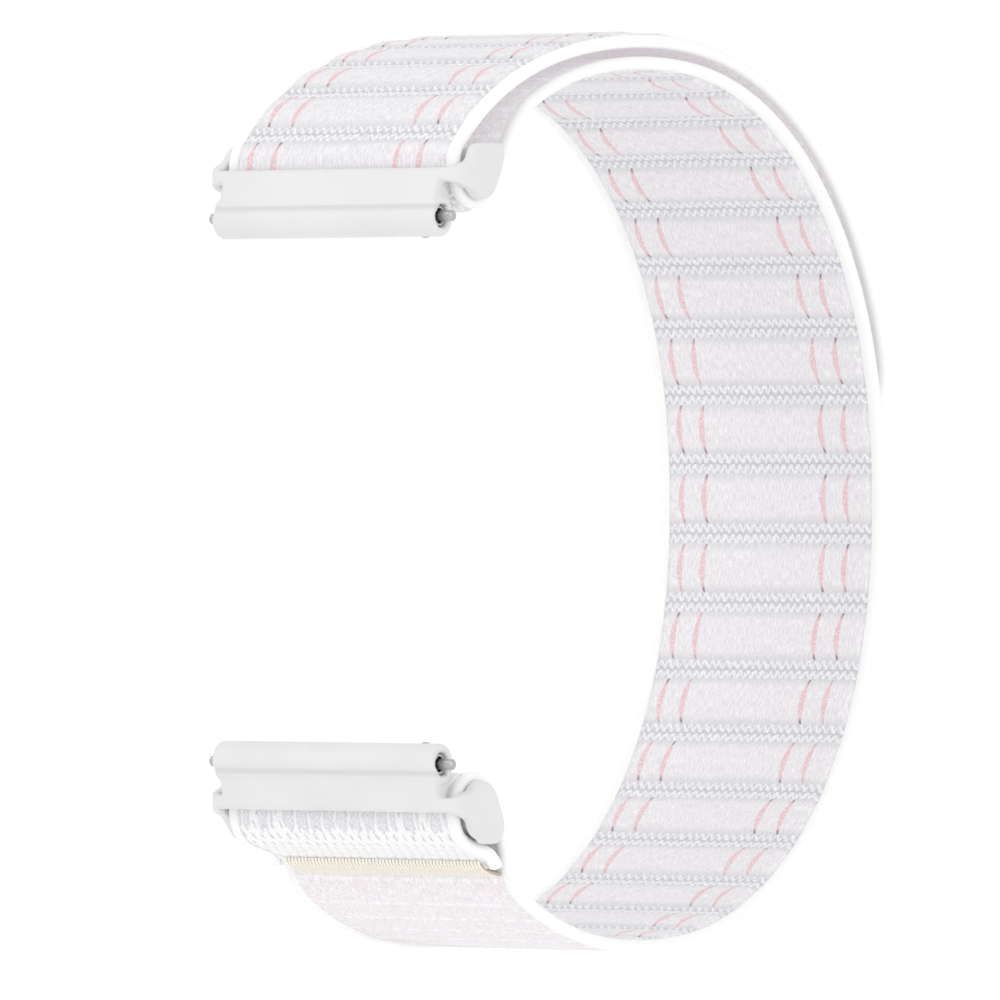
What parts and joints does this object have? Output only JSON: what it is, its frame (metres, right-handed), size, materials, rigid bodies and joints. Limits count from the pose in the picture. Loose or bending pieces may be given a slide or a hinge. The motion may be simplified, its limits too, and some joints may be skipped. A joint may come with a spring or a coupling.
{
  "type": "watch strap",
  "caption": "Woven hook and loop watch strap closed into a loop, with a moulded adapter and a quick-release spring bar at each end.",
  "frame": {"origin": "on the wrist's axis, midway between the two adapters", "axes": "+X along the wrist across the strap, -Y to the watch, +Z to the upper adapter at twelve o'clock"},
  "size_m": [0.0234, 0.0667, 0.0702],
  "materials": {
    "webbing": "woven satin ribs",
    "plain_webbing": "flat weave",
    "cream_thread": "overlock thread",
    "hook_tape": "hook tape",
    "adapter_moulding": "smooth satin",
    "spring_bar_steel": "turned"
  },
  "bodies": {
    "strap": {"band_loop": "webbing", "lower_tab": "plain_webbing", "lower_tab_stitching": "cream_thread"},
    "free_end_flap": {"free_end": "webbing"},
    "free_tip_flap": {"free_tip": "webbing", "hook_pad": "hook_tape"},
    "upper_adapter": {"upper_adapter_body": "adapter_moulding", "upper_spring_bar_tube": "spring_bar_steel", "upper_spring_bar_fixed_tip": "spring_bar_steel", "upper_spring_bar_spring": "spring_bar_steel"},
    "upper_release": {"upper_spring_bar_plunger": "spring_bar_steel", "upper_release_knob": "spring_bar_steel"},
    "lower_adapter": {"lower_adapter_body": "adapter_moulding", "lower_spring_bar_tube": "spring_bar_steel", "lower_spring_bar_fixed_tip": "spring_bar_steel", "lower_spring_bar_spring": "spring_bar_steel"},
    "lower_release": {"lower_spring_bar_plunger": "spring_bar_steel", "lower_release_knob": "spring_bar_steel"}
  },
  "joints": [
    {"name": "free_end_peel", "type": "hinge", "parent": "strap", "child": "free_end_flap", "pos_m": [0, -0.02646, 0.02661], "axis": [1, 0, 0], "range_deg": [0, 90]},
    {"name": "tip_lift", "type": "hinge", "parent": "free_end_flap", "child": "free_tip_flap", "pos_m": [0, 0.02589, 0.0259], "axis": [1, 0, 0], "range_deg": [0, 60]},
    {"name": "upper_adapter_pivot", "type": "hinge", "parent": "strap", "child": "upper_adapter", "pos_m": [0, -0.0248, 0.0239], "axis": [1, 0, 0], "range_deg": [-18, 18]},
    {"name": "upper_release_slide", "type": "slide", "parent": "upper_adapter", "child": "upper_release", "axis": [-1, 0, 0], "range_m": [0, 0.0012], "stiffness_N_per_m": 400, "deforming": ["upper_spring_bar_spring"]},
    {"name": "lower_adapter_pivot", "type": "hinge", "parent": "strap", "child": "lower_adapter", "pos_m": [0, -0.0248, -0.0239], "axis": [1, 0, 0], "range_deg": [-18, 18]},
    {"name": "lower_release_slide", "type": "slide", "parent": "lower_adapter", "child": "lower_release", "axis": [-1, 0, 0], "range_m": [0, 0.0012], "stiffness_N_per_m": 400, "deforming": ["lower_spring_bar_spring"]}
  ]
}
